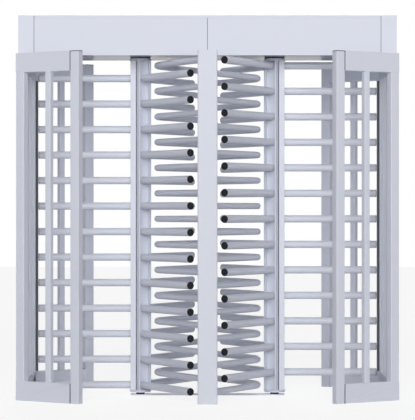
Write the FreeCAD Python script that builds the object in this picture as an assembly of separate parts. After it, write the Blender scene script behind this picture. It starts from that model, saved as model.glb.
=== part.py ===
import FreeCAD, Part
import math
import os

# Double full height turnstile: two three-wing rotors side by side under one drive head.
# Millimetres, +Z up, front towards -Y. The origin is on the floor, midway between the
# two rotor axes. The left half is drawn and the right half is its mirror image, except
# that the rotor rows of the right half stand half a pitch higher.

# Drive head
HEAD_HEIGHT = 240.0
HEAD_UNDERSIDE = 2060.0
END_CAP_WIDTH = 95.0
SHEET = 2.0
BASE_SHEET = 4.0
LID_LIP = 12.0
COVER_HEM = 15.0
SEAM = 2.4
COVER_SEAM = 0.4
FRAME_TUBE = 40.0
FRAME_INSET = 22.0
FRAME_GAP = 20.0
FRAME_TOP_GAP = 20.0
FRAME_BAY_X = 760.0

# Sides of the round bars, which are drawn with flats because many of them repeat
BAR_SIDES = 8
BEND_STEPS = 3

# Side cages
POST_WIDTH = 60.0
POST_DEPTH = 45.0
TUBE_WALL = 3.0
TUBE_CORNER = 3.0
CAGE_CLEARANCE = 46.0
PANEL_ANGLE = 33.0
POST_CLEARANCE = 67.8
POST_BEARING = 62.63
RAIL_HEIGHT = 115.0
SIDE_RAIL_DEPTH = 60.0
SIDE_POST_WIDTH = 45.0
BAR_WIDTH = 38.0
BAR_DEPTH = 34.0
BAR_GAP = 145.0
SIDE_BARS = 3
POST_CAP_HEIGHT = 4.0
PAD_THICKNESS = 3.0
SEAL_RECESS = 4.0
SEAL_DEPTH = 44.8
SEAL_GAP = 0.5
ANCHOR_HOLE_RADIUS = 6.5
ANCHOR_ACCESS = 26.0
CAGE_ANCHOR_SPACING = 480.0

# Centre barrier
CENTRE_POST_WIDTH = 116.0
CENTRE_POST_DEPTH = 60.0
CENTRE_FACE_CLEARANCE = 51.0
CENTRE_POST_CORNER = 6.0
LOOP_RADIUS = 19.0
LOOP_COLUMN_GAP = 12.4
LOOP_ARM_GAP = 13.0
LOOP_CROSSING_GAP = 75.5
LOOP_END_X = 8.7
TIE_WIDTH = 100.0
TOP_TIE_THICKNESS = 20.0
BASE_PLATE_THICKNESS = 6.0
BASE_STRIP_MARGIN = 35.0
BASE_STRIP_DEPTH = 80.0
BASE_ANCHOR_X = 60.0
BASE_ANCHOR_Y = 1000.0

# Rotors
ROWS = 13
ROW_GROUND_GAP = 39.5
ROW_TOP_GAP = 5.5
WINGS = 3
ARM_RADIUS = 22.5
ARM_REACH = 622.0
ARM_CAP = 3.5
COLUMN_TUBE_WIDTH = 80.0
COLUMN_TUBE_DEPTH = 35.0
COLUMN_TUBE_GAP = 3.3
COLUMN_CORNER = 8.0
HUB_CLEARANCE = 1.0
FLANGE_RADIUS = 66.0
FLANGE_THICKNESS = 6.0
ROTOR_HEAD_GAP = 14.0

# Floor pivot
PIVOT_FOOT = 50.0
PIVOT_FOOT_HEIGHT = 19.7
PIVOT_RADIUS = 12.5
BUSH_WALL = 5.0
BUSH_SIDES = 8
BUSH_LENGTH = 30.0
RUNNING_CLEARANCE = 0.05
AXIAL_GAP = 0.3

# Bearing and index cam
SHAFT_RADIUS = 30.0
SHAFT_HOLE_CLEARANCE = 5.0
SHAFT_SHOULDER = 8.0
SHAFT_SQUARE_STEP = 10.0
SHAFT_STUB = 54.0
SHAFT_SEAL_RADIUS = 60.0
SHAFT_SEAL_CLEARANCE = 1.5
SHAFT_SEAL_GAP = 4.0
BEARING_RING = 17.5
BEARING_WIDTH = 20.0
HOUSING_WALL = 10.5
HOUSING_LEDGE = 17.0
HOUSING_FLANGE = 10.0
SQUARE_CLEARANCE = 0.2
CAM_RADIUS = 115.0
CAM_SIDES = 24
CAM_HUB_WALL = 15.0
CAM_PLATE = 12.0
CAM_LEVEL_GAP = 10.0
NOTCHES = 6
NOTCH_WIDTH = 24.0
NOTCH_DEPTH = 20.0

# Locking pawls and solenoids
PAWL_PIVOT_X = 80.0
PAWL_RIM_GAP = 25.0
PAWL_WIDTH = 20.0
PAWL_THICKNESS = 10.0
PAWL_TAIL_END = 12.0
PAWL_TOOTH_WIDTH = 19.0
PAWL_ENGAGE = 8.0
PAWL_SWING = 8.0
PAWL_PIN_RADIUS = 6.0
PAWL_PIN_FOOT = 20.0
PAWL_PIN_CLEARANCE = 0.05
SOLENOID_WIDTH = 34.0
SOLENOID_LENGTH = 48.0
SOLENOID_HEIGHT = 40.0
SOLENOID_GAP = 16.0
SOLENOID_CAM_GAP = 2.0
PLUNGER_RADIUS = 6.0
PLUNGER_CLEARANCE = 0.1
PLUNGER_DEPTH = 30.0
PLUNGER_TOUCH = 0.4

# Control box
CONTROL_LENGTH = 300.0
CONTROL_DEPTH = 180.0
CONTROL_HEIGHT = 70.0
CONTROL_LID = 4.0
CONTROL_CORNER = 10.0

# Rotor: the column's size from its three tubes, and the rows evenly between floor and head
COLUMN_INNER = (COLUMN_TUBE_WIDTH / 2 + COLUMN_TUBE_GAP) / math.sqrt(3)
COLUMN_OUTER = COLUMN_INNER + COLUMN_TUBE_DEPTH
COLUMN_CORNER_REACH = math.hypot(COLUMN_OUTER, COLUMN_TUBE_WIDTH / 2)
ROTOR_BOTTOM = BASE_PLATE_THICKNESS + PIVOT_FOOT_HEIGHT + AXIAL_GAP
ROTOR_TOP = HEAD_UNDERSIDE - ROTOR_HEAD_GAP
COLUMN_BOTTOM = ROTOR_BOTTOM + FLANGE_THICKNESS
COLUMN_TOP = ROTOR_TOP - FLANGE_THICKNESS
LEFT_FIRST_ROW = ROW_GROUND_GAP + ARM_RADIUS
RIGHT_LAST_ROW = HEAD_UNDERSIDE - TOP_TIE_THICKNESS - ROW_TOP_GAP - ARM_RADIUS
ROW_PITCH = (RIGHT_LAST_ROW - LEFT_FIRST_ROW) / (ROWS - 0.5)
ROW_HALF_PITCH = ROW_PITCH / 2
RIGHT_FIRST_ROW = LEFT_FIRST_ROW + ROW_HALF_PITCH
BUSH_RADIUS = PIVOT_RADIUS + RUNNING_CLEARANCE + BUSH_WALL
BUSH_TOP = ROTOR_BOTTOM + BUSH_LENGTH

# Plan: a rotor's arms reach past the middle, almost to the tips of the other side's loops
LOOP_STANDOFF = COLUMN_CORNER_REACH + LOOP_COLUMN_GAP
ROTOR_X = round((ARM_REACH + LOOP_CROSSING_GAP + 2 * LOOP_RADIUS + LOOP_STANDOFF) / 2, 1)
LOOP_REACH = ROTOR_X - LOOP_STANDOFF
SIDE_X = ROTOR_X + ARM_REACH + CAGE_CLEARANCE + SIDE_RAIL_DEPTH
CENTRE_POST_FACE_Y = ARM_REACH + CENTRE_FACE_CLEARANCE
CENTRE_POST_BACK = CENTRE_POST_FACE_Y - CENTRE_POST_DEPTH

# Head: its depth from the locking parts and the frame round them
PAWL_PIVOT_Y = CAM_RADIUS + PAWL_RIM_GAP
FACE_Y = PAWL_PIVOT_Y + PAWL_WIDTH / 2 + FRAME_GAP + FRAME_TUBE + FRAME_INSET + SHEET
END_SEAM_X = SIDE_X - END_CAP_WIDTH
HEAD_TOP = HEAD_UNDERSIDE + HEAD_HEIGHT
HEAD_FLOOR = HEAD_UNDERSIDE + BASE_SHEET
POST_TOP = HEAD_UNDERSIDE - POST_CAP_HEIGHT
TOP_RAIL_BOTTOM = HEAD_UNDERSIDE - RAIL_HEIGHT
SHAFT_HOLE = SHAFT_RADIUS + SHAFT_HOLE_CLEARANCE
SHAFT_SQUARE = 2 * (SHAFT_RADIUS - SHAFT_SQUARE_STEP)
BEARING_RADIUS = SHAFT_RADIUS + BEARING_RING
HOUSING_BOSS = 2 * (BEARING_RADIUS + HOUSING_WALL)
HOUSING_SIDE = HOUSING_BOSS + 2 * HOUSING_LEDGE
CAM_HUB = SHAFT_SQUARE + 2 * CAM_HUB_WALL
BEARING_BOTTOM = HEAD_FLOOR + HOUSING_FLANGE
BEARING_TOP = BEARING_BOTTOM + BEARING_WIDTH
CAM_BOTTOM = BEARING_TOP + SHAFT_SHOULDER
LOWER_CAM = (CAM_BOTTOM, CAM_BOTTOM + CAM_PLATE)
UPPER_CAM = (LOWER_CAM[1] + CAM_LEVEL_GAP, LOWER_CAM[1] + CAM_LEVEL_GAP + CAM_PLATE)
SHAFT_TOP = UPPER_CAM[1] + SHAFT_STUB
PLUNGER_X = CAM_RADIUS + SOLENOID_CAM_GAP + SOLENOID_WIDTH / 2
PAWL_TAIL_X = PLUNGER_X + PAWL_TAIL_END
SIDES = (("left", -1), ("right", 1))
REACH = 4000.0


def vector(x, y, z=0.0):
    return FreeCAD.Vector(x, y, z)


def box(x0, x1, y0, y1, z0, z1):
    """A block between two corners."""
    low = vector(min(x0, x1), min(y0, y1), min(z0, z1))
    return Part.makeBox(abs(x1 - x0), abs(y1 - y0), abs(z1 - z0), low)


def cylinder(x, y, radius, z0, z1):
    """An upright round bar."""
    return Part.makeCylinder(radius, z1 - z0, vector(x, y, z0))


def prism(points, z0, z1):
    """An upright block whose plan is a closed line of straight sides."""
    corners = [vector(x, y, z0) for x, y in points]
    outline = Part.makePolygon(corners + corners[:1])
    return Part.Face(outline).extrude(vector(0, 0, z1 - z0))


def eased(x0, x1, y0, y1, z0, z1, corner):
    """A block with a flat along each of its four upright edges, if it has room for one."""
    block = box(x0, x1, y0, y1, z0, z1)
    if corner <= 0:
        return block
    upright = [edge for edge in block.Edges if abs(edge.tangentAt(edge.FirstParameter).z) > 0.5]
    return block.makeChamfer(corner, upright)


def square_tube(x0, x1, y0, y1, z0, z1, corner=TUBE_CORNER, lid=0.0):
    """An upright rectangular tube, open at its foot, and at its head unless it has a lid."""
    bore = eased(x0 + TUBE_WALL, x1 - TUBE_WALL, y0 + TUBE_WALL, y1 - TUBE_WALL,
                 z0, z1 - lid, corner - TUBE_WALL)
    return eased(x0, x1, y0, y1, z0, z1, corner).cut(bore)


def polygon_points(x, y, radius, sides):
    """Corners of a regular polygon in plan."""
    turns = [2 * math.pi * index / sides for index in range(sides)]
    return [(x + radius * math.cos(turn), y + radius * math.sin(turn)) for turn in turns]


def bar_ring(centre, across, radius):
    """Corners of a level bar's cross-section. Across is the level direction square to it."""
    return [centre + across * (radius * u) + vector(0, 0, radius * v)
            for u, v in polygon_points(0, 0, 1, BAR_SIDES)]


def skinned(rings):
    """A solid through several rings of corners, with flat faces from ring to ring."""
    faces = [Part.Face(Part.makePolygon(ring + ring[:1])) for ring in (rings[0], rings[-1])]
    for near, far in zip(rings, rings[1:]):
        for index in range(BAR_SIDES):
            corners = [near[index - 1], near[index], far[index], far[index - 1]]
            faces.append(Part.Face(Part.makePolygon(corners + corners[:1])))
    solid = Part.Solid(Part.Shell(faces))
    return solid if solid.Volume > 0 else solid.reversed()


def level_bar(start, way, radius, length):
    across = vector(-way.y, way.x)
    return skinned([bar_ring(start, across, radius), bar_ring(start + way * length, across, radius)])


def mirrored(shape, across_x=False, across_y=False):
    """A copy reflected left to right, front to back, or both."""
    result = shape
    if across_x:
        result = result.mirror(vector(0, 0), vector(1, 0))
    if across_y:
        result = result.mirror(vector(0, 0), vector(0, 1))
    return result


def turned(shape, degrees, x=0.0, y=0.0):
    """A copy turned about an upright axis through x, y."""
    copy = shape.copy()
    copy.rotate(vector(x, y), vector(0, 0, 1), degrees)
    return copy


def moved(shape, x=0.0, y=0.0, z=0.0):
    copy = shape.copy()
    copy.translate(vector(x, y, z))
    return copy


def export(node, solids):
    """Writes one node as its own file, one solid or a group of separate ones."""
    parts = solids if isinstance(solids, list) else [solids]
    shape = parts[0] if len(parts) == 1 else Part.makeCompound(parts)
    shape.exportStep("parts/" + node + ".step")


def export_pair(name, solids):
    """Writes the left node as drawn and the right one as its mirror image."""
    parts = solids if isinstance(solids, list) else [solids]
    export("left_" + name, parts)
    export("right_" + name, [mirrored(part, across_x=True) for part in parts])


# Side cages: an angled panel at the front, a side wall and an angled panel at the rear.
# The front left panel is drawn in its own frame: x runs along the panel from the front
# post outwards, and y is zero on the outward face and negative behind it.
# Its front post's inner corner stands a clearance outside the circle of the arm tips.
PANEL_TURN = 180.0 - PANEL_ANGLE
ALONG = (math.cos(math.radians(PANEL_TURN)), math.sin(math.radians(PANEL_TURN)))
OUTWARD = (-ALONG[1], ALONG[0])
POST_RANGE = ARM_REACH + POST_CLEARANCE
POST_TURN = math.radians(POST_BEARING)
PANEL_CORNER_X = ROTOR_X + POST_RANGE * math.cos(POST_TURN) - OUTWARD[0] * POST_DEPTH
PANEL_CORNER_Y = POST_RANGE * math.sin(POST_TURN) - OUTWARD[1] * POST_DEPTH
PANEL_LENGTH = (SIDE_X - PANEL_CORNER_X) / -ALONG[0]


def panel_point(along, depth):
    """Plan point of the front left panel, so far along it and so far behind its face."""
    return (-PANEL_CORNER_X + ALONG[0] * along - OUTWARD[0] * depth,
            -PANEL_CORNER_Y + ALONG[1] * along - OUTWARD[1] * depth)


def panel_at_x(x, depth):
    """Plan point where a line behind the panel's face crosses a given x."""
    start_x, start_y = panel_point(0.0, depth)
    along = (x - start_x) / ALONG[0]
    return (x, start_y + ALONG[1] * along)


def on_panel(shape):
    """Moves a shape from the panel's frame to its place at the front left."""
    return moved(turned(shape, PANEL_TURN), -PANEL_CORNER_X, -PANEL_CORNER_Y)


def front_and_rear(shape):
    return [shape, mirrored(shape, across_y=True)]


SIDE_INNER_X = SIDE_X - SIDE_RAIL_DEPTH
SIDE_POST_END = -panel_at_x(-SIDE_X, POST_DEPTH)[1]
SIDE_POST_START = SIDE_POST_END - SIDE_POST_WIDTH


def full_post():
    """The free-standing post at the passage end of a panel, floor to cap."""
    return on_panel(square_tube(0, POST_WIDTH, -POST_DEPTH, 0, 0, POST_TOP))


def post_cap():
    """Black end plug: a plate on the tube's end and a spigot inside it."""
    plate = eased(0, POST_WIDTH, -POST_DEPTH, 0, POST_TOP, HEAD_UNDERSIDE, TUBE_CORNER)
    inset = TUBE_WALL + SEAL_GAP
    spigot = box(inset, POST_WIDTH - inset, -POST_DEPTH + inset, -inset,
                 POST_TOP - 3 * POST_CAP_HEIGHT, POST_TOP)
    return on_panel(plate.fuse(spigot).removeSplitter())


def outer_post():
    """The panel's outer upright, held between the two rails."""
    tube = square_tube(PANEL_LENGTH - POST_WIDTH, PANEL_LENGTH, -POST_DEPTH, 0,
                       RAIL_HEIGHT, TOP_RAIL_BOTTOM)
    return on_panel(tube).common(box(-SIDE_X, 0, -REACH, REACH, 0, REACH))


def side_post():
    """The side wall's end upright, beside the outer post."""
    return square_tube(-SIDE_X, -SIDE_INNER_X, -SIDE_POST_END, -SIDE_POST_START,
                       RAIL_HEIGHT, TOP_RAIL_BOTTOM)


def corner_seal():
    """Black strip that fills the wedge between the side post and the outer post."""
    edge_x = -SIDE_INNER_X - SEAL_RECESS
    back_y = -SIDE_POST_END - SEAL_GAP
    tip = panel_at_x(edge_x, POST_DEPTH + SEAL_GAP)
    heel_x = edge_x - SEAL_DEPTH
    heel = panel_at_x(heel_x, POST_DEPTH + SEAL_GAP)
    wedge = [(heel_x, back_y), heel, tip, (edge_x, back_y)]
    return prism(wedge, RAIL_HEIGHT, TOP_RAIL_BOTTOM)


def panel_rail(z0):
    """A box rail from the pad at the full post to the outer corner, closed there."""
    z1 = z0 + RAIL_HEIGHT
    start = POST_WIDTH + PAD_THICKNESS
    inner_start = start - TUBE_WALL
    inner_x = -SIDE_X + TUBE_WALL
    inner_depth = POST_DEPTH - TUBE_WALL
    outside = [panel_point(start, 0.0), panel_at_x(-SIDE_X, 0.0),
               panel_at_x(-SIDE_X, POST_DEPTH), panel_point(start, POST_DEPTH)]
    inside = [panel_point(inner_start, TUBE_WALL), panel_at_x(inner_x, TUBE_WALL),
              panel_at_x(inner_x, inner_depth), panel_point(inner_start, inner_depth)]
    return prism(outside, z0, z1).cut(prism(inside, z0 + TUBE_WALL, z1 - TUBE_WALL))


def side_rail(z0):
    """The side wall's box rail, cut at both ends to the panels' inner faces."""
    z1 = z0 + RAIL_HEIGHT
    outer_end = panel_at_x(-SIDE_X, POST_DEPTH)
    inner_end = panel_at_x(-SIDE_INNER_X, POST_DEPTH)
    outside = [outer_end, inner_end, (inner_end[0], -inner_end[1]), (outer_end[0], -outer_end[1])]
    bore = box(-SIDE_X + TUBE_WALL, -SIDE_INNER_X - TUBE_WALL, -REACH, REACH,
               z0 + TUBE_WALL, z1 - TUBE_WALL)
    return prism(outside, z0, z1).cut(bore)


def anchored(rail):
    """Drills the side rail for two floor anchors, with wider holes above to reach them."""
    x = -SIDE_X + SIDE_RAIL_DEPTH / 2
    result = rail
    for y in (-CAGE_ANCHOR_SPACING / 2, CAGE_ANCHOR_SPACING / 2):
        result = result.cut(cylinder(x, y, ANCHOR_HOLE_RADIUS, 0, RAIL_HEIGHT / 2))
        result = result.cut(box(x - ANCHOR_ACCESS / 2, x + ANCHOR_ACCESS / 2,
                                y - ANCHOR_ACCESS / 2, y + ANCHOR_ACCESS / 2,
                                RAIL_HEIGHT / 2, RAIL_HEIGHT))
    return result


def rail_pad(z0):
    """Black plate between a rail's end and the full post."""
    return on_panel(box(POST_WIDTH, POST_WIDTH + PAD_THICKNESS, -POST_DEPTH, 0,
                        z0, z0 + RAIL_HEIGHT))


def mid_bar():
    """The upright in the middle of an angled panel, flush with its outward face."""
    start = POST_WIDTH + BAR_GAP
    return on_panel(square_tube(start, start + BAR_WIDTH, -BAR_DEPTH, 0,
                                RAIL_HEIGHT, TOP_RAIL_BOTTOM))


def side_bars():
    """Evenly spaced uprights between the side wall's end posts."""
    clear = 2 * SIDE_POST_START
    pitch = (clear + BAR_WIDTH) / (SIDE_BARS + 1)
    inner = -SIDE_INNER_X
    bars = []
    for index in range(SIDE_BARS):
        y = (index - (SIDE_BARS - 1) / 2) * pitch
        bars.append(square_tube(inner - BAR_DEPTH, inner, y - BAR_WIDTH / 2, y + BAR_WIDTH / 2,
                                RAIL_HEIGHT, TOP_RAIL_BOTTOM))
    return bars


def build_cages():
    post = full_post()
    export_pair("front_post", post)
    export_pair("rear_post", mirrored(post, across_y=True))
    export_pair("corner_posts", front_and_rear(outer_post()) + front_and_rear(side_post()))
    export_pair("infill_bars", front_and_rear(mid_bar()) + side_bars())
    export_pair("top_rails", front_and_rear(panel_rail(TOP_RAIL_BOTTOM)) +
                [side_rail(TOP_RAIL_BOTTOM)])
    export_pair("bottom_rails", front_and_rear(panel_rail(0.0)) + [anchored(side_rail(0.0))])
    caps = front_and_rear(post_cap())
    pads = front_and_rear(rail_pad(0.0)) + front_and_rear(rail_pad(TOP_RAIL_BOTTOM))
    seals = front_and_rear(corner_seal())
    for name, group in (("post_caps", caps), ("rail_pads", pads), ("corner_seals", seals)):
        export(name, group + [mirrored(part, across_x=True) for part in group])


def rotor_rows(first_row):
    """Heights of the arm rows. The loops of each side fill the gaps between its own arms."""
    return [first_row + row * ROW_PITCH for row in range(ROWS)]


# Centre barrier: two wide posts with bent tubes that point at the rotors, so that nobody
# passes between a rotor and the middle. The rotor arms sweep through the gaps in them.
def centre_post():
    """Front centre post, closed at the top by a welded lid."""
    half = CENTRE_POST_WIDTH / 2
    return square_tube(-half, half, -CENTRE_POST_FACE_Y, -CENTRE_POST_BACK, 0, HEAD_UNDERSIDE,
                       CENTRE_POST_CORNER, lid=TUBE_WALL)


def loop_half_turn():
    """Half the bend's angle. Each leg runs from its post at a tangent past the other rotor."""
    circle = ARM_REACH + LOOP_ARM_GAP + LOOP_RADIUS
    aside = ROTOR_X - LOOP_END_X
    distance = math.hypot(aside, CENTRE_POST_BACK)
    return math.asin(circle / distance) + math.atan2(CENTRE_POST_BACK, aside) - math.pi / 2


def loop_bar():
    """One tube bent to a wide V: a large bend near the column, a leg to each centre post."""
    half_turn = loop_half_turn()
    circle = ARM_REACH + LOOP_ARM_GAP + LOOP_RADIUS
    span = ROTOR_X + LOOP_REACH - LOOP_RADIUS
    bend = (circle - span * math.cos(half_turn)) / (1 - math.cos(half_turn))
    bend_x = -LOOP_REACH + LOOP_RADIUS + bend
    rings = []
    for step in range(BEND_STEPS + 1):
        turn = half_turn * (2 * step / BEND_STEPS - 1)
        across = vector(-math.cos(turn), math.sin(turn))
        rings.append(bar_ring(vector(bend_x, 0) + across * bend, across, LOOP_RADIUS))
    slope = math.tan(half_turn)
    front = [vector(p.x + (p.y + CENTRE_POST_BACK) * slope, -CENTRE_POST_BACK, p.z)
             for p in rings[0]]
    rear = [vector(p.x, -p.y, p.z) for p in front]
    return skinned([front] + rings + [rear])


def top_tie():
    """Flat bar that joins the heads of the two centre posts and carries the drive head."""
    half = TIE_WIDTH / 2
    return box(-half, half, -CENTRE_POST_BACK, CENTRE_POST_BACK,
               HEAD_UNDERSIDE - TOP_TIE_THICKNESS, HEAD_UNDERSIDE)


def base_plate():
    """Cross-shaped floor plate: one strip joins the posts, the other carries the pivots."""
    tie = box(-TIE_WIDTH / 2, TIE_WIDTH / 2, -CENTRE_POST_BACK, CENTRE_POST_BACK,
              0, BASE_PLATE_THICKNESS)
    strip_end = ROTOR_X + PIVOT_FOOT / 2 + BASE_STRIP_MARGIN
    strip = box(-strip_end, strip_end, -BASE_STRIP_DEPTH / 2, BASE_STRIP_DEPTH / 2,
                0, BASE_PLATE_THICKNESS)
    plate = tie.fuse(strip).removeSplitter()
    for x in (-BASE_ANCHOR_X / 2, BASE_ANCHOR_X / 2):
        for y in (-BASE_ANCHOR_Y / 2, BASE_ANCHOR_Y / 2):
            plate = plate.cut(cylinder(x, y, ANCHOR_HOLE_RADIUS, 0, BASE_PLATE_THICKNESS))
    return plate


def build_centre():
    post = centre_post()
    export("centre_front_post", post)
    export("centre_rear_post", mirrored(post, across_y=True))
    export("top_tie", top_tie())
    export("base_plate", base_plate())
    bar = loop_bar()
    export("left_loops", [moved(bar, z=z) for z in rotor_rows(RIGHT_FIRST_ROW)])
    export("right_loops", [moved(mirrored(bar, across_x=True), z=z)
                           for z in rotor_rows(LEFT_FIRST_ROW)])


# Rotors: three rectangular tubes make the column, and each tube carries one wing of
# straight arms with a black cap on every tip.
def wing_angles(side):
    """At rest one wing points straight out to the side and the others to the middle."""
    first = 180.0 if side < 0 else 0.0
    return [first + wing * 360.0 / WINGS for wing in range(WINGS)]


def column(x, side):
    """A tube for each wing, round a core bar that stands on the lower flange's hub."""
    tube = square_tube(COLUMN_INNER, COLUMN_OUTER, -COLUMN_TUBE_WIDTH / 2, COLUMN_TUBE_WIDTH / 2,
                       COLUMN_BOTTOM, COLUMN_TOP, COLUMN_CORNER)
    core = prism(polygon_points(x, 0, COLUMN_INNER - HUB_CLEARANCE, BUSH_SIDES),
                 BUSH_TOP, COLUMN_TOP)
    return [core] + [moved(turned(tube, angle), x) for angle in wing_angles(side)]


def column_flanges(x):
    """End discs of the column. The lower one has a hub with a socket for the pivot bush."""
    hub = polygon_points(x, 0, COLUMN_INNER - HUB_CLEARANCE, BUSH_SIDES)
    socket = polygon_points(x, 0, BUSH_RADIUS + RUNNING_CLEARANCE, BUSH_SIDES)
    lower = cylinder(x, 0, FLANGE_RADIUS, ROTOR_BOTTOM, COLUMN_BOTTOM)
    lower = lower.fuse(prism(hub, COLUMN_BOTTOM, BUSH_TOP)).removeSplitter()
    lower = lower.cut(prism(socket, ROTOR_BOTTOM, BUSH_TOP))
    upper = cylinder(x, 0, FLANGE_RADIUS, COLUMN_TOP, ROTOR_TOP)
    return [lower, upper]


def arms_and_caps(x, side, first_row):
    arms = []
    caps = []
    arm_end = ARM_REACH - ARM_CAP
    for angle in wing_angles(side):
        way = vector(math.cos(math.radians(angle)), math.sin(math.radians(angle)), 0)
        for z in rotor_rows(first_row):
            centre = vector(x, 0, z)
            arms.append(level_bar(centre + way * COLUMN_OUTER, way, ARM_RADIUS,
                                  arm_end - COLUMN_OUTER))
            caps.append(level_bar(centre + way * arm_end, way, ARM_RADIUS, ARM_CAP))
    return arms, caps


def drive_shaft(x):
    """Shaft from the column's top flange through the bearing, with a square end for the cam."""
    half = SHAFT_SQUARE / 2
    shaft = cylinder(x, 0, SHAFT_RADIUS, ROTOR_TOP, CAM_BOTTOM)
    return shaft.fuse(box(x - half, x + half, -half, half, CAM_BOTTOM, SHAFT_TOP))


def notched_plate(x, first_notch, level):
    """One plate of the index cam. Twice as many notches as wings lock it half way too."""
    plate = prism(polygon_points(x, 0, CAM_RADIUS, CAM_SIDES), *level)
    notch = box(CAM_RADIUS - NOTCH_DEPTH, CAM_RADIUS + NOTCH_DEPTH,
                -NOTCH_WIDTH / 2, NOTCH_WIDTH / 2, *level)
    for index in range(NOTCHES):
        plate = plate.cut(moved(turned(notch, first_notch + index * 360.0 / NOTCHES), x))
    return plate


def index_cam(x):
    """Two notched plates on one hub: the lower stops one direction, the upper the other."""
    half = CAM_HUB / 2
    bore = SHAFT_SQUARE / 2 + SQUARE_CLEARANCE
    hub = box(x - half, x + half, -half, half, LOWER_CAM[1], UPPER_CAM[0])
    cam = hub.fuse([notched_plate(x, 270.0, LOWER_CAM), notched_plate(x, 90.0, UPPER_CAM)])
    return cam.cut(box(x - bore, x + bore, -bore, bore, CAM_BOTTOM, UPPER_CAM[1]))


def pivot_bush(x):
    """Wear bush with a round bore. Its flats keep it from turning in the flange."""
    outside = polygon_points(x, 0, BUSH_RADIUS, BUSH_SIDES)
    bore = cylinder(x, 0, PIVOT_RADIUS + RUNNING_CLEARANCE, ROTOR_BOTTOM, BUSH_TOP)
    return prism(outside, ROTOR_BOTTOM, BUSH_TOP).cut(bore)


def pivot_pin(x):
    """Floor pivot: a square foot that takes the rotor's weight and a pin up into the bush."""
    half = PIVOT_FOOT / 2
    foot_top = ROTOR_BOTTOM - AXIAL_GAP
    foot = box(x - half, x + half, -half, half, BASE_PLATE_THICKNESS, foot_top)
    pin = cylinder(x, 0, PIVOT_RADIUS, foot_top, BUSH_TOP)
    return foot.fuse(pin)


def build_rotors():
    for name, side in SIDES:
        x = side * ROTOR_X
        first_row = LEFT_FIRST_ROW if side < 0 else RIGHT_FIRST_ROW
        arms, caps = arms_and_caps(x, side, first_row)
        export(name + "_column", column(x, side))
        export(name + "_column_flanges", column_flanges(x))
        export(name + "_arms", arms)
        export(name + "_arm_caps", caps)
        export(name + "_drive_shaft", drive_shaft(x))
        export(name + "_index_cam", index_cam(x))
        export(name + "_pivot_bush", pivot_bush(x))
    export("pivot_pins", [pivot_pin(side * ROTOR_X) for _, side in SIDES])


# Bearings, locking pawls and solenoids on the head's floor
def bearing_housing(x):
    """Square flange and boss. A shoulder round the shaft hole carries the bearing."""
    flange = HOUSING_SIDE / 2
    boss = HOUSING_BOSS / 2
    body = box(x - flange, x + flange, -flange, flange, HEAD_FLOOR, BEARING_BOTTOM)
    body = body.fuse(box(x - boss, x + boss, -boss, boss, BEARING_BOTTOM, BEARING_TOP))
    body = body.cut(cylinder(x, 0, SHAFT_HOLE, HEAD_FLOOR, BEARING_BOTTOM))
    return body.cut(cylinder(x, 0, BEARING_RADIUS, BEARING_BOTTOM, BEARING_TOP))


def bearing(x):
    ring = cylinder(x, 0, BEARING_RADIUS - RUNNING_CLEARANCE, BEARING_BOTTOM, BEARING_TOP)
    return ring.cut(cylinder(x, 0, SHAFT_RADIUS + RUNNING_CLEARANCE, BEARING_BOTTOM, BEARING_TOP))


def shaft_seal(x):
    """Black ring under the head's floor that hides the hole round the shaft."""
    bottom = ROTOR_TOP + SHAFT_SEAL_GAP
    rim = prism(polygon_points(x, 0, SHAFT_SEAL_RADIUS, CAM_SIDES), bottom, HEAD_UNDERSIDE)
    inner = SHAFT_RADIUS + SHAFT_SEAL_CLEARANCE
    return rim.cut(prism(polygon_points(x, 0, inner, CAM_SIDES), bottom, HEAD_UNDERSIDE))


def locking_pawl(level):
    """Rear pawl of a rotor at x = 0, drawn in the notch and then swung clear to rest."""
    middle = (level[0] + level[1]) / 2
    z0 = middle - PAWL_THICKNESS / 2
    z1 = middle + PAWL_THICKNESS / 2
    half = PAWL_WIDTH / 2
    bar = box(-PAWL_TOOTH_WIDTH / 2, PAWL_TAIL_X, PAWL_PIVOT_Y - half, PAWL_PIVOT_Y + half, z0, z1)
    tooth = box(-PAWL_TOOTH_WIDTH / 2, PAWL_TOOTH_WIDTH / 2, CAM_RADIUS - PAWL_ENGAGE,
                PAWL_PIVOT_Y, z0, z1)
    pawl = bar.fuse(tooth).removeSplitter()
    pawl = pawl.cut(cylinder(PAWL_PIVOT_X, PAWL_PIVOT_Y, PAWL_PIN_RADIUS + PAWL_PIN_CLEARANCE,
                             z0, z1))
    return turned(pawl, -PAWL_SWING, PAWL_PIVOT_X, PAWL_PIVOT_Y)


def pawl_pin(level):
    """Pivot pin on a square foot that holds the pawl at its cam's level."""
    middle = (level[0] + level[1]) / 2
    foot_top = middle - PAWL_THICKNESS / 2 - AXIAL_GAP
    pin_top = middle + PAWL_THICKNESS
    half = PAWL_PIN_FOOT / 2
    foot = box(PAWL_PIVOT_X - half, PAWL_PIVOT_X + half, PAWL_PIVOT_Y - half,
               PAWL_PIVOT_Y + half, HEAD_FLOOR, foot_top)
    return foot.fuse(cylinder(PAWL_PIVOT_X, PAWL_PIVOT_Y, PAWL_PIN_RADIUS, foot_top, pin_top))


def plunger_tip_y():
    """Where the resting plunger ends, just short of the swung tail of the pawl."""
    swing = math.radians(PAWL_SWING)
    lever = PLUNGER_X - PAWL_PIVOT_X
    edge = PAWL_PIVOT_Y - lever * math.tan(swing) - PAWL_WIDTH / 2 / math.cos(swing)
    return edge - PLUNGER_RADIUS * math.tan(swing) - PLUNGER_TOUCH


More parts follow.
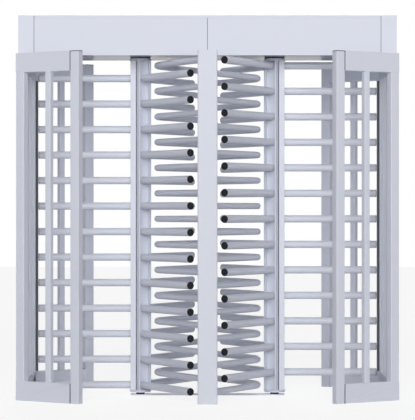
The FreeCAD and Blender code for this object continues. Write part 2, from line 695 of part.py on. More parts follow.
def solenoid(level):
    """Coil case on a stand, with a bore for its plunger."""
    middle = (level[0] + level[1]) / 2
    y1 = plunger_tip_y() - SOLENOID_GAP
    y0 = y1 - SOLENOID_LENGTH
    half = SOLENOID_WIDTH / 2
    case = box(PLUNGER_X - half, PLUNGER_X + half, y0, y1, HEAD_FLOOR,
               middle + SOLENOID_HEIGHT / 2)
    bore = level_bar(vector(PLUNGER_X, y0, middle), vector(0, 1),
                     PLUNGER_RADIUS + PLUNGER_CLEARANCE, SOLENOID_LENGTH)
    return case.cut(bore)


def plunger(level):
    middle = (level[0] + level[1]) / 2
    length = SOLENOID_GAP + PLUNGER_DEPTH
    start = vector(PLUNGER_X, plunger_tip_y() - length, middle)
    return level_bar(start, vector(0, 1), PLUNGER_RADIUS, length)


def at_rotor(shape, side, rear):
    """Places a drive piece drawn at x = 0 and at the rear beside one of the rotors."""
    placed = mirrored(shape, across_x=side < 0, across_y=not rear)
    return moved(placed, side * ROTOR_X)


def build_drive():
    rotors = [side * ROTOR_X for _, side in SIDES]
    export("bearing_housings", [bearing_housing(x) for x in rotors])
    export("bearings", [bearing(x) for x in rotors])
    export("shaft_seals", [shaft_seal(x) for x in rotors])
    pins = []
    coils = []
    for name, side in SIDES:
        for end, rear, level in (("front", False, LOWER_CAM), ("rear", True, UPPER_CAM)):
            label = name + "_" + end
            export(label + "_pawl", at_rotor(locking_pawl(level), side, rear))
            export(label + "_plunger", at_rotor(plunger(level), side, rear))
            pins.append(at_rotor(pawl_pin(level), side, rear))
            coils.append(at_rotor(solenoid(level), side, rear))
    export("pawl_pins", pins)
    export("solenoids", coils)


# Drive head: a floor sheet on the rails and the tie, a tube frame and folded covers
def head_floor():
    margin = SHEET + COVER_SEAM
    floor = box(-SIDE_X + margin, SIDE_X - margin, -FACE_Y + margin, FACE_Y - margin,
                HEAD_UNDERSIDE, HEAD_FLOOR)
    for _, side in SIDES:
        floor = floor.cut(cylinder(side * ROTOR_X, 0, SHAFT_HOLE, HEAD_UNDERSIDE, HEAD_FLOOR))
    return floor


def head_frame():
    """Long tubes at the floor and under the lid, joined by uprights."""
    length = SIDE_X - SHEET - FRAME_INSET
    y0 = FACE_Y - SHEET - FRAME_INSET - FRAME_TUBE
    y1 = y0 + FRAME_TUBE
    top_z0 = HEAD_TOP - FRAME_TOP_GAP - FRAME_TUBE
    bottom_z1 = HEAD_FLOOR + FRAME_TUBE
    uprights = [-length, -FRAME_BAY_X, -FRAME_TUBE / 2, FRAME_BAY_X - FRAME_TUBE,
                length - FRAME_TUBE]
    pieces = []
    for z0 in (HEAD_FLOOR, top_z0):
        bar = box(-length, length, y0, y1, z0, z0 + FRAME_TUBE)
        bore = box(-length, length, y0 + TUBE_WALL, y1 - TUBE_WALL,
                   z0 + TUBE_WALL, z0 + FRAME_TUBE - TUBE_WALL)
        pieces.append(bar.cut(bore))
    for x in uprights:
        pieces.append(box(x, x + FRAME_TUBE, y0, y1, bottom_z1, top_z0))
    rear = pieces
    front = [mirrored(piece, across_y=True) for piece in pieces]
    ties = [box(x, x + FRAME_TUBE, -y0, y0, top_z0, top_z0 + FRAME_TUBE) for x in uprights]
    return rear + front + ties


def end_cap():
    """Left end of the casing: a deep folded tray that closes the head's end."""
    outside = box(-SIDE_X, -END_SEAM_X - SEAM / 2, -FACE_Y, FACE_Y, HEAD_UNDERSIDE, HEAD_TOP)
    inside = box(-SIDE_X + SHEET, 0, -FACE_Y + SHEET, FACE_Y - SHEET, 0, HEAD_TOP - SHEET)
    return outside.cut(inside)


def front_cover():
    """Left front cover: a sheet with a hem folded back along its top and both ends."""
    x0 = -END_SEAM_X + SEAM / 2
    x1 = -SEAM / 2
    z1 = HEAD_TOP - SHEET - LID_LIP - COVER_SEAM
    outside = box(x0, x1, -FACE_Y, -FACE_Y + COVER_HEM, HEAD_UNDERSIDE, z1)
    inside = box(x0 + SHEET, x1 - SHEET, -FACE_Y + SHEET, 0, 0, z1 - SHEET)
    floor_slot = box(x0, x1, -FACE_Y + SHEET, 0, 0, HEAD_FLOOR + COVER_SEAM)
    return outside.cut(inside).cut(floor_slot)


def head_lid():
    """The long lid between the end caps, with a lip turned down at front and rear."""
    half = END_SEAM_X - SEAM / 2
    outside = box(-half, half, -FACE_Y, FACE_Y, HEAD_TOP - SHEET - LID_LIP, HEAD_TOP)
    inside = box(-half, half, -FACE_Y + SHEET, FACE_Y - SHEET, 0, HEAD_TOP - SHEET)
    return outside.cut(inside)


def control_box():
    """Closed box for the control board, with a wider lid."""
    half = CONTROL_LENGTH / 2
    depth = CONTROL_DEPTH / 2
    top = HEAD_FLOOR + CONTROL_HEIGHT
    tray = eased(-half + CONTROL_LID, half - CONTROL_LID, -depth + CONTROL_LID,
                 depth - CONTROL_LID, HEAD_FLOOR, top, CONTROL_CORNER)
    lid = eased(-half, half, -depth, depth, top, top + CONTROL_LID, CONTROL_CORNER)
    return tray.fuse(lid).removeSplitter()


def build_head():
    cover = front_cover()
    export("head_floor", head_floor())
    export("head_frame", head_frame())
    export_pair("end_cap", end_cap())
    export_pair("front_cover", cover)
    export_pair("rear_cover", mirrored(cover, across_y=True))
    export("head_lid", head_lid())
    export("control_box", control_box())


os.makedirs("parts", exist_ok=True)
build_cages()
build_centre()
build_rotors()
build_drive()
build_head()
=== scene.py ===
import math
import bmesh
import bpy
from mathutils import Matrix, Vector
from mathutils.bvhtree import BVHTree


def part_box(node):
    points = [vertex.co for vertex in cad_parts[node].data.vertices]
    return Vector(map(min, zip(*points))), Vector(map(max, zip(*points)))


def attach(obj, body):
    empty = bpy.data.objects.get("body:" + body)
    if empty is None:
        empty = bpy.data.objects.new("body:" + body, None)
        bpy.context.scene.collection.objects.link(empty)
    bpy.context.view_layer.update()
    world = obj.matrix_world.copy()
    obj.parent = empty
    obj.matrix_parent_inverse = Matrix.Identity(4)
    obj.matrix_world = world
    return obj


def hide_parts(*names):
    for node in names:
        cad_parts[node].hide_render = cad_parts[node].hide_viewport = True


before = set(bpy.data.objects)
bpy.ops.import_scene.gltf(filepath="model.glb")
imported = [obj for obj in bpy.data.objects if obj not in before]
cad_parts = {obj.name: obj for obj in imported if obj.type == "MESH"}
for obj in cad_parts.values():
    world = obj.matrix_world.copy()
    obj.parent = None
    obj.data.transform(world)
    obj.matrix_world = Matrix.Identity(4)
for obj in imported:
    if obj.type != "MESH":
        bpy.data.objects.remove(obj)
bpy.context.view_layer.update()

# Side cages
# Box-section steel, cut square, welded and ground, then powder coated a light cool grey.
# Each side has two angled panels and a side wall between a low and a high rail.
SIDES = (("left", -1), ("right", 1))
PAINT = (0.655, 0.68, 0.76, 1.0)
PAINT_THIN = (0.72, 0.74, 0.80, 1.0)
TUBE_EDGE = 0.0013


def node(tree, kind, inputs=None, **settings):
    """Adds a node. An input is a value, or the socket or the node to link from. A node gives
    its first output."""
    made = tree.nodes.new(kind)
    for name, value in settings.items():
        setattr(made, name, value)
    for key, value in (inputs or {}).items():
        if isinstance(value, bpy.types.Node):
            value = value.outputs[0]
        if isinstance(value, bpy.types.NodeSocket):
            tree.links.new(value, made.inputs[key])
        else:
            made.inputs[key].default_value = value
    return made


def maths(tree, operation, *values):
    """Works out one number from others."""
    return node(tree, "ShaderNodeMath", dict(enumerate(values)), operation=operation)


def group_sockets(tree, ins, outs):
    """Gives a node group its named inputs and outputs."""
    for way, sockets in (("INPUT", ins), ("OUTPUT", outs)):
        for name, kind in sockets.items():
            tree.interface.new_socket(name, in_out=way, socket_type="NodeSocket" + kind)
    return tree.nodes.new("NodeGroupInput"), tree.nodes.new("NodeGroupOutput")


def noise(tree, size, detail):
    """Noise that stays with the piece, in patches of about this size."""
    place = node(tree, "ShaderNodeTexCoord")
    return node(tree, "ShaderNodeTexNoise", {"Vector": place.outputs["Object"], "Detail": detail,
                                             "Scale": maths(tree, "DIVIDE", 1.0, size)})


# How far the rounded normal agrees with the face where wear starts and where it is full, and
# the band of noise in which a patch goes from whole to rubbed.
WEAR_STARTS, WEAR_FULL = 0.995, 0.90
PATCH_STARTS, PATCH_FULL = 0.42, 0.66
WEAR_SAMPLES = 4
PATCH_DETAIL, GRAIN_DETAIL, CLOUD_DETAIL = 4.0, 2.0, 5.0


def edge_wear_group():
    """A mask of the outer edges, broken up by noise, where a finish is rubbed thin."""
    tree = bpy.data.node_groups.new("Edge wear", "ShaderNodeTree")
    start, end = group_sockets(tree, {"Reach": "Float", "Patch Size": "Float", "Amount": "Float"},
                               {"Mask": "Float"})
    rounded = node(tree, "ShaderNodeBevel", {"Radius": start.outputs["Reach"]},
                   samples=WEAR_SAMPLES)
    face = node(tree, "ShaderNodeNewGeometry")
    agree = node(tree, "ShaderNodeVectorMath", {0: rounded, 1: face.outputs["Normal"]},
                 operation="DOT_PRODUCT")
    edge = node(tree, "ShaderNodeMapRange", {"Value": agree.outputs["Value"],
                                             "From Min": WEAR_STARTS, "From Max": WEAR_FULL})
    patches = noise(tree, start.outputs["Patch Size"], PATCH_DETAIL)
    broken = node(tree, "ShaderNodeMapRange", {"Value": patches, "From Min": PATCH_STARTS,
                                               "From Max": PATCH_FULL})
    both = maths(tree, "MULTIPLY", edge, broken)
    scaled = maths(tree, "MULTIPLY", both, start.outputs["Amount"])
    tree.links.new(scaled.outputs[0], end.inputs["Mask"])
    return tree


def grain_group():
    """Even fine relief, such as orange peel or moulded texture, and a slow cloudiness."""
    tree = bpy.data.node_groups.new("Fine grain", "ShaderNodeTree")
    start, end = group_sockets(tree, {"Grain Size": "Float", "Cloud Size": "Float"},
                               {"Height": "Float", "Cloud": "Float"})
    for size, result, detail in (("Grain Size", "Height", GRAIN_DETAIL),
                                 ("Cloud Size", "Cloud", CLOUD_DETAIL)):
        patches = noise(tree, start.outputs[size], detail)
        tree.links.new(patches.outputs[0], end.inputs[result])
    return tree


EDGE_WEAR = edge_wear_group()
FINE_GRAIN = grain_group()
# What all paint, plastic and rubber here share: the size of clouds, the reach and patch size of
# wear, and the band of cloud in which the roughness goes from less to more.
COATED = {"cloud_size": 0.3, "rub_reach": 0.0018, "rub_patch": 0.035, "cloud_band": (0.3, 0.7),
          "gloss_band": (-0.04, 0.05)}


def surface(name, tones, worn, roughness, grain, relief, wear, cloud_size, rub_reach, rub_patch,
            cloud_band, gloss_band, spangle=0.0):
    """A finish of two tones in clouds or crystals, worn along edges, with gloss and relief."""
    material = bpy.data.materials.new(name)
    material.use_nodes = True
    tree = material.node_tree
    shader = tree.nodes["Principled BSDF"]
    texture = node(tree, "ShaderNodeGroup", {"Grain Size": grain, "Cloud Size": cloud_size},
                   node_tree=FINE_GRAIN)
    rubbed = node(tree, "ShaderNodeGroup", {"Reach": rub_reach, "Patch Size": rub_patch,
                                            "Amount": wear}, node_tree=EDGE_WEAR)
    vary = texture.outputs["Cloud"]
    if spangle:
        place = node(tree, "ShaderNodeTexCoord")
        crystals = node(tree, "ShaderNodeTexVoronoi", {"Vector": place.outputs["Object"],
                                                       "Scale": 1 / spangle})
        vary = crystals.outputs["Color"]
    body = node(tree, "ShaderNodeMix", data_type="RGBA",
                inputs={"Factor": vary, "A": tones[0], "B": tones[1]})
    whole = node(tree, "ShaderNodeMix", data_type="RGBA",
                 inputs={"Factor": rubbed, "A": body.outputs["Result"], "B": worn})
    gloss = node(tree, "ShaderNodeMapRange", {
        "Value": vary, "From Min": cloud_band[0], "From Max": cloud_band[1],
        "To Min": roughness + gloss_band[0], "To Max": roughness + gloss_band[1]})
    bump = node(tree, "ShaderNodeBump", {"Height": texture.outputs["Height"], "Strength": 1.0,
                                         "Distance": relief})
    for made, result, key in ((whole, "Result", "Base Color"), (gloss, "Result", "Roughness"),
                              (bump, "Normal", "Normal")):
        tree.links.new(made.outputs[result], shader.inputs[key])
    return material, shader


def shade(colour, times):
    """The same colour, darker or lighter."""
    return [min(1.0, channel * times) for channel in colour[:3]] + [1.0]


def coated(name, colour, worn, cloud=0.05, specular=0.22, **sizes):
    """Paint, plastic or rubber, in a cloudy colour, that looks thin along worn edges."""
    tones = shade(colour, 1 - cloud), shade(colour, 1 + cloud)
    material, shader = surface(name, tones, worn, **COATED, **sizes)
    shader.inputs["Specular IOR Level"].default_value = specular
    return material


powder_coat = coated("Powder coat", PAINT, PAINT_THIN, cloud=0.012, roughness=0.36, grain=0.0014,
                     relief=0.00004, wear=0.5)


def parted(shape):
    """The same faces, where solids that touch no longer share a corner or an edge."""
    fresh = bmesh.new()
    for first in shape.faces:
        if first.tag:
            continue
        first.tag = True
        waiting, corners = [first], {}
        while waiting:
            face = waiting.pop()
            for vert in face.verts:
                if vert not in corners:
                    corners[vert] = fresh.verts.new(vert.co)
            fresh.faces.new([corners[vert] for vert in face.verts])
            for edge in face.edges:
                if edge.is_manifold:
                    for other in edge.link_faces:
                        if not other.tag:
                            other.tag = True
                            waiting.append(other)
    shape.free()
    return fresh


SAME_POINT = 2e-6
FLAT_ANGLE = math.radians(0.5)


def merged_copy(*nodes, drilled=False):
    """One mesh from copies of CAD nodes, with shared corners and whole flat faces. Faces drilled
    with round holes get even triangles first, because no single face can hold a hole."""
    shape = bmesh.new()
    for name in nodes:
        shape.from_mesh(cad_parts[name].data)
    bmesh.ops.remove_doubles(shape, verts=shape.verts, dist=SAME_POINT)
    shape = parted(shape)
    if drilled:
        flat = [edge for edge in shape.edges
                if edge.is_manifold and edge.calc_face_angle(1.0) < FLAT_ANGLE]
        bmesh.ops.beautify_fill(shape, faces=shape.faces, edges=flat)
    bmesh.ops.dissolve_limit(shape, angle_limit=FLAT_ANGLE, verts=shape.verts,
                             edges=shape.edges, delimit=set())
    return shape


def mesh_of(shape, name, material=None):
    """Turns a bmesh into a plain mesh."""
    mesh = bpy.data.meshes.new(name)
    shape.to_mesh(mesh)
    shape.free()
    if material:
        mesh.materials.append(material)
    return mesh


def placed(name, mesh, body, stands_for=None):
    """Puts a mesh in the scene as a piece that rides on a body. It may stand for a CAD node."""
    piece = bpy.data.objects.new(name, mesh)
    bpy.context.collection.objects.link(piece)
    if stands_for:
        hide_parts(stands_for)
    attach(piece, body)
    return piece


BEVEL_ANGLE = math.radians(30.0)
FLAT_FACE_WEIGHT = 100


def round_edges(piece, width, segments=2):
    """Rounds a piece's sharp edges, and shades its flat faces as flat."""
    for polygon in piece.data.polygons:
        polygon.use_smooth = True
    bevel = piece.modifiers.new("Rounded edges", "BEVEL")
    bevel.width = width
    bevel.segments = segments
    bevel.limit_method = "ANGLE"
    bevel.angle_limit = BEVEL_ANGLE
    weighted = piece.modifiers.new("Flat faces", "WEIGHTED_NORMAL")
    weighted.weight = FLAT_FACE_WEIGHT
    weighted.mode = "FACE_AREA"


def dressed(name, solid, material, body, width, segments=2, drilled=False):
    """A piece in the place of a CAD node, with the same shape and rounded edges."""
    mesh = mesh_of(merged_copy(solid, drilled=drilled), name, material)
    round_edges(placed(name, mesh, body, solid), width, segments)


for side, _ in SIDES:
    for part in ("front_post", "rear_post", "corner_posts", "infill_bars", "top_rails",
                 "bottom_rails"):
        solid = side + "_" + part
        dressed(solid + "_tubes", solid, powder_coat, "root", TUBE_EDGE,
                drilled=part == "bottom_rails")


def geometry_tree(name, sizes):
    """An empty Geometry Nodes tree with named inputs for a mesh, its sizes and a material."""
    tree = bpy.data.node_groups.new(name, "GeometryNodeTree")
    start, end = group_sockets(tree, {"Geometry": "Geometry", **sizes, "Material": "Material"},
                               {"Geometry": "Geometry"})
    return tree, start, end


def finish_tree(tree, start, end, made):
    """Ends a tree with real geometry in the material it was given."""
    real = node(tree, "GeometryNodeRealizeInstances", {"Geometry": made})
    painted = node(tree, "GeometryNodeSetMaterial", {"Geometry": real,
                                                     "Material": start.outputs["Material"]})
    tree.links.new(painted.outputs[0], end.inputs["Geometry"])
    return tree


def swept(tree, start, end, line, radius, sides):
    """Ends a tree with a round bar along a line, closed at both ends."""
    ring = node(tree, "GeometryNodeCurvePrimitiveCircle", {"Radius": radius, "Resolution": sides})
    bar = node(tree, "GeometryNodeCurveToMesh", {"Curve": line, "Profile Curve": ring,
                                                 "Fill Caps": True})
    smooth = node(tree, "GeometryNodeSetShadeSmooth", {"Geometry": bar})
    return finish_tree(tree, start, end, smooth)


def grown_mesh(name, tree, source, material, sizes):
    """Runs a Geometry Nodes tree once on a mesh and keeps what it makes as a plain mesh."""
    seed = bpy.data.objects.new(name, source)
    bpy.context.collection.objects.link(seed)
    modifier = seed.modifiers.new("Shape", "NODES")
    modifier.node_group = tree
    values = {**sizes, "Material": material}
    for item in tree.interface.items_tree:
        if item.in_out == "INPUT" and item.name in values:
            modifier[item.identifier] = values[item.name]
    evaluated = seed.evaluated_get(bpy.context.evaluated_depsgraph_get())
    made = bpy.data.meshes.new_from_object(evaluated)
    made.name = name
    seed.modifiers.clear()
    bpy.data.objects.remove(seed)
    return made


def grown(name, tree, source, material, sizes, body, stands_for=None):
    """A piece that a Geometry Nodes tree makes from a mesh."""
    mesh = grown_mesh(name, tree, source, material, sizes)
    return placed(name, mesh, body, stands_for)


BEAD = {"Bead Radius": 0.0024, "Ripple Length": 0.0032, "Ripple Depth": 0.14}
BEAD_SIDES = 6


def weld_tree():
    """Weld beads along drawn lines, with the ripples of a hand-laid seam."""
    tree, start, end = geometry_tree("Weld beads", dict.fromkeys(BEAD, "Float"))
    line = node(tree, "GeometryNodeMeshToCurve", {"Mesh": start})
    even = node(tree, "GeometryNodeResampleCurve", mode="LENGTH",
                inputs={"Curve": line, "Length": start.outputs["Ripple Length"]})
    odd = maths(tree, "MODULO", node(tree, "GeometryNodeInputIndex"), 2.0)
    waist = maths(tree, "MULTIPLY", odd, start.outputs["Ripple Depth"])
    rippled = node(tree, "GeometryNodeSetCurveRadius", {
        "Curve": even, "Radius": maths(tree, "SUBTRACT", 1.0, waist)})
    return swept(tree, start, end, rippled, start.outputs["Bead Radius"], BEAD_SIDES)


# A weld runs along a member's edge where rays from just outside and just inside it both meet a
# base. Edges between faces that hardly turn have none, and neither do inner edges, which look
# across the bore at the member's own far wall.
WELD_PROBE = 0.002
WELD_STEP = WELD_PROBE / 4
BORE_REACH = 0.055
STILL_FLAT = 0.75
WELD_DIGITS = 5


def weld_lines(members, bases):
    """Lines where the members stand on or butt against the bases. Flush sides have none."""
    shape, rest = merged_copy(*members), merged_copy(*bases)
    own, base = BVHTree.FromBMesh(shape), BVHTree.FromBMesh(rest)
    segments = []
    for edge in shape.edges:
        if len(edge.link_faces) != 2:
            continue
        ends = [vert.co.copy() for vert in edge.verts]
        middle = (ends[0] + ends[1]) / 2
        first, second = (face.normal for face in edge.link_faces)
        if abs(first.dot(second)) > STILL_FLAT:
            continue
        for across, ahead in ((first, second), (second, first)):
            across = (across - ahead * across.dot(ahead)).normalized()
            outside = middle + across * WELD_PROBE - ahead * WELD_STEP
            inside = middle - across * WELD_STEP - ahead * WELD_STEP
            if (base.ray_cast(outside, ahead, 2 * WELD_STEP)[0] is not None
                    and base.ray_cast(inside, ahead, 2 * WELD_STEP)[0] is not None
                    and own.ray_cast(outside, across, BORE_REACH)[0] is None):
                segments.append(ends)
    shape.free()
    rest.free()
    number = {}
    pairs = [tuple(number.setdefault(tuple(round(c, WELD_DIGITS) for c in end), len(number))
                   for end in ends) for ends in segments]
    mesh = bpy.data.meshes.new("weld lines")
    mesh.from_pydata(list(number), pairs, [])
    return mesh


WELD_BEADS = weld_tree()


def welded(name, members, bases, material=powder_coat):
    """Beads where the members stand on or butt against the bases."""
    grown(name, WELD_BEADS, weld_lines(members, bases), material, BEAD, "root")


for side, _ in SIDES:
    welded(side + "_cage_welds", [side + "_corner_posts", side + "_infill_bars"],
           [side + "_top_rails", side + "_bottom_rails"])

# Plugs, pads and fillers of the cages
# Black moulded nylon plugs close the full posts, black plates part the rails from the
# posts, and folded black strips fill the corners between the angled and side posts.
BLACK = (0.022, 0.023, 0.026, 1.0)
BLACK_WORN = (0.06, 0.062, 0.066, 1.0)
TRIM_EDGE = 0.0006
black_trim = coated("Black moulded trim", BLACK, BLACK_WORN, specular=0.15, roughness=0.6,
                    grain=0.0006, relief=0.00005, wear=0.4)
seal_rubber = coated("Seal rubber", BLACK, BLACK_WORN, specular=0.0, roughness=0.88,
                     grain=0.0009, relief=0.00008, wear=0.0)
for name in ("post_caps", "rail_pads"):
    dressed(name + "_moulded", name, black_trim, "root", TRIM_EDGE)
dressed("corner_seals_folded", "corner_seals", seal_rubber, "root", TRIM_EDGE)


def slab(shape, outline, depth):
    """Adds a flat plate with the given outline, as thick as the depth vector."""
    near = [shape.verts.new(point) for point in outline]
    far = [shape.verts.new(Vector(point) + Vector(depth)) for point in outline]
    faces = [shape.faces.new(near), shape.faces.new(far[::-1])]
    for i in range(len(near)):
        faces.append(shape.faces.new((near[i - 1], far[i - 1], far[i], near[i])))
    bmesh.ops.recalc_face_normals(shape, faces=faces)


# Painted filler strips close the gap beside each black plate on the passage side. A plate's
# face gets one where its normal hardly rises and points at the middle.
COVER_PROUD = 0.0004
COVER_DEPTH = 0.003
MOST_RISE = 0.1
LEAST_INWARD = 0.8
pads = merged_copy("rail_pads")
strips = bmesh.new()
for face in pads.faces:
    centre = face.calc_center_median()
    inward = Vector((-centre.x, -centre.y, 0.0)).normalized()
    if abs(face.normal.z) < MOST_RISE and face.normal.dot(inward) > LEAST_INWARD:
        low = face.normal * COVER_PROUD
        slab(strips, [vert.co + low for vert in face.verts], face.normal * -COVER_DEPTH)
pads.free()
placed("rail_joint_strips", mesh_of(strips, "rail_joint_strips", powder_coat), "root")

# The fillers' folded edges lie on the inner faces of the outer posts.
FOLD_CORNER = (1.082, 0.3822)
FOLD_WIDTH = 0.0172
FOLD_PROUD = 0.0006
PANEL_ANGLE = math.radians(33.0)
FILLER = (0.15, 0.155, 0.168, 1.0)
FILLER_WORN = (0.2, 0.205, 0.215, 1.0)
filler_rubber = coated("Filler rubber", FILLER, FILLER_WORN, specular=0.05, roughness=0.8,
                       grain=0.0009, relief=0.00008, wear=0.2)
foot, head = (corner.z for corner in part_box("corner_seals"))
up = Vector((0.0, 0.0, head - foot))
folds = bmesh.new()
for side_x in (-1, 1):
    for end_y in (-1, 1):
        start = Vector((side_x * FOLD_CORNER[0], end_y * FOLD_CORNER[1], foot))
        along = Vector((-side_x * math.cos(PANEL_ANGLE), end_y * math.sin(PANEL_ANGLE), 0.0))
        inward = Vector((-side_x * math.sin(PANEL_ANGLE), -end_y * math.cos(PANEL_ANGLE), 0.0))
        start += inward * FOLD_PROUD
        back = start + along * FOLD_WIDTH
        slab(folds, [start, back, back + up, start + up], inward * -2 * FOLD_PROUD)
placed("corner_filler_folds", mesh_of(folds, "corner_filler_folds", filler_rubber), "root")

# Centre posts
# Two wide box posts, front and rear, tied at the head by a flat bar and at the floor by a
# cross-shaped plate. The front one hides where the rotors meet.
CENTRE_POSTS = ["centre_front_post", "centre_rear_post"]
PLATE_EDGE = 0.0009
for name in CENTRE_POSTS:
    dressed(name + "_tube", name, powder_coat, "root", TUBE_EDGE, segments=3)
for name in ("top_tie", "base_plate"):
    dressed(name + "_steel", name, powder_coat, "root", PLATE_EDGE,
            drilled=name == "base_plate")
    welded(name + "_welds", [name], CENTRE_POSTS)

# Bent tubes of the centre barrier
# Steel tube of 38 mm, each one bent to a wide V that points at a rotor, with its legs
# welded to the centre posts. The rotor's arms pass through the gaps between them.
ENDS = (("front", -1), ("rear", 1))
LOOP_RADIUS = 0.019
LOOP_BEND = 0.25
LOOP_TIP = 0.3255
LOOP_SLOPE = math.radians(30.0)
LOOP_POST_Y = 0.613
BEND_STEPS = 12
ROUND_SIDES = 28
END_LAND = 0.0008
ROWS = 13
ROW_PITCH = 0.156
LEFT_ROW = 0.062
RIGHT_ROW = LEFT_ROW + ROW_PITCH / 2
NOT_REPEATED = {"Rows": 1, "First Row": 0.0, "Row Pitch": ROW_PITCH, "Wings": 1,
                "First Wing": 0.0, "Axis X": 0.0}


def round_tube_tree():
    """A round tube along a drawn line."""
    tree, start, end = geometry_tree("Round tube", {"Radius": "Float", "Sides": "Int"})
    path = node(tree, "GeometryNodeMeshToCurve", {"Mesh": start})
    return swept(tree, start, end, path, start.outputs["Radius"], start.outputs["Sides"])


def rows_tree():
    """One shape repeated upwards in even rows, and round an upright axis in even wings."""
    tree, start, end = geometry_tree("Rows and wings", {
        "Rows": "Int", "First Row": "Float", "Row Pitch": "Float", "Wings": "Int",
        "First Wing": "Float", "Axis X": "Float"})
    size = start.outputs
    first = node(tree, "ShaderNodeCombineXYZ", {"Z": size["First Row"]})
    step = node(tree, "ShaderNodeCombineXYZ", {"Z": size["Row Pitch"]})
    rows = node(tree, "GeometryNodeMeshLine", mode="OFFSET",
                inputs={"Count": size["Rows"], "Start Location": first, "Offset": step})
    stack = node(tree, "GeometryNodeInstanceOnPoints", {"Points": rows, "Instance": start})
    wings = node(tree, "GeometryNodePoints", {"Count": size["Wings"]})
    share = maths(tree, "DIVIDE", math.tau, size["Wings"])
    turn = maths(tree, "MULTIPLY_ADD", node(tree, "GeometryNodeInputIndex"), share,
                 size["First Wing"])
    angle = node(tree, "ShaderNodeCombineXYZ", {"Z": turn})
    around = node(tree, "GeometryNodeInstanceOnPoints", {"Points": wings, "Instance": stack,
                                                         "Rotation": angle})
    axis = node(tree, "ShaderNodeCombineXYZ", {"X": size["Axis X"]})
    shift = node(tree, "GeometryNodeTransform", {"Geometry": around, "Translation": axis})
    return finish_tree(tree, start, end, shift)


ROUND_TUBE = round_tube_tree()
ROWS_AND_WINGS = rows_tree()


def path_mesh(name, points, closed=False):
    """A line of points joined by edges."""
    mesh = bpy.data.meshes.new(name)
    count = len(points)
    edges = [(i, (i + 1) % count) for i in range(count if closed else count - 1)]
    mesh.from_pydata(points, edges, [])
    return mesh


def turns(start, end, steps):
    """Even steps from one angle in degrees to another, given in radians."""
    return [math.radians(start + (end - start) * i / steps) for i in range(steps + 1)]


def loop_path(toward):
    """Centre line of one bent tube: a leg, the bend and the other leg. Also where it ends."""
    centre_x = LOOP_TIP - LOOP_RADIUS - LOOP_BEND
    arc = [(centre_x + LOOP_BEND * math.cos(turn), LOOP_BEND * math.sin(turn))
           for turn in (LOOP_SLOPE * (2 * i / BEND_STEPS - 1) for i in range(BEND_STEPS + 1))]
    end_x = arc[0][0] - (LOOP_POST_Y + arc[0][1]) * math.tan(LOOP_SLOPE)
    land_x = END_LAND * math.sin(LOOP_SLOPE)
    land_y = LOOP_POST_Y - END_LAND * math.cos(LOOP_SLOPE)
    points = ([(end_x, -LOOP_POST_Y), (end_x + land_x, -land_y)] + arc +
              [(end_x + land_x, land_y), (end_x, LOOP_POST_Y)])
    return [(toward * x, y, 0.0) for x, y in points], end_x


RING_POINTS = 24
FULL_RING = turns(0, 360, RING_POINTS)[:-1]
for (side, toward), first_row in zip(SIDES, (RIGHT_ROW, LEFT_ROW)):
    rows = {**NOT_REPEATED, "Rows": ROWS, "First Row": first_row}
    line, end_x = loop_path(toward)
    tube = grown_mesh(side + "_tube", ROUND_TUBE, path_mesh(side + "_tube_line", line),
                      powder_coat, {"Radius": LOOP_RADIUS, "Sides": ROUND_SIDES})
    grown(side + "_bent_tubes", ROWS_AND_WINGS, tube, powder_coat, rows, "root",
          side + "_loops")
    for end, way in ENDS:
        ellipse = [(toward * end_x + LOOP_RADIUS / math.cos(LOOP_SLOPE) * math.cos(turn),
                    way * LOOP_POST_Y, LOOP_RADIUS * math.sin(turn)) for turn in FULL_RING]
        name = side + "_" + end + "_tube_welds"
        bead = grown_mesh(name, WELD_BEADS, path_mesh(name, ellipse, closed=True), powder_coat,
                          BEAD)
        grown(name, ROWS_AND_WINGS, bead, powder_coat, rows, "root")

# Rotor columns
# Three steel channels, open outwards, stand back to back round a core tube between two end
# discs. Each wing of arms is welded inside its channel. A ring under the lower disc keeps
# dirt off the floor pivot, and a cup on the upper one runs round the shaft seal.
ROTOR_X = 0.41
WINGS = 3
FIRST_WING = {"left": math.pi, "right": 0.0}
COLUMN_BOTTOM = 0.032
COLUMN_TOP = 2.04
CORE_BOTTOM = 0.056
CORE_RADIUS = 0.024
CORE_SIDES = 24
CHANNEL_BACK = 0.025
CHANNEL_TOE = 0.06
CHANNEL_HALF = 0.04
CHANNEL_EDGE = 0.0012
WEB = 0.006
FLANGE = 0.0075
HEEL_RADIUS = 0.005
ROOT_RADIUS = 0.004
CORNER_STEPS = 5
DISC_EDGE = 0.0008
CREASE = math.radians(28.0)
RING_SIDES = 64
CORE_TUBE = [(CORE_BOTTOM, 0.0), (CORE_BOTTOM, CORE_RADIUS), (COLUMN_TOP, CORE_RADIUS),
             (COLUMN_TOP, 0.0)]
DIRT_RING = [(0.0185, 0.0385), (0.0185, 0.0615), (0.019, 0.062), (0.0258, 0.062),
             (0.0258, 0.038), (0.019, 0.038)]
SEAL_CUP = [(2.0462, 0.0612), (2.0462, 0.064), (2.0538, 0.064), (2.0542, 0.0636),
            (2.0542, 0.0616), (2.0538, 0.0612)]


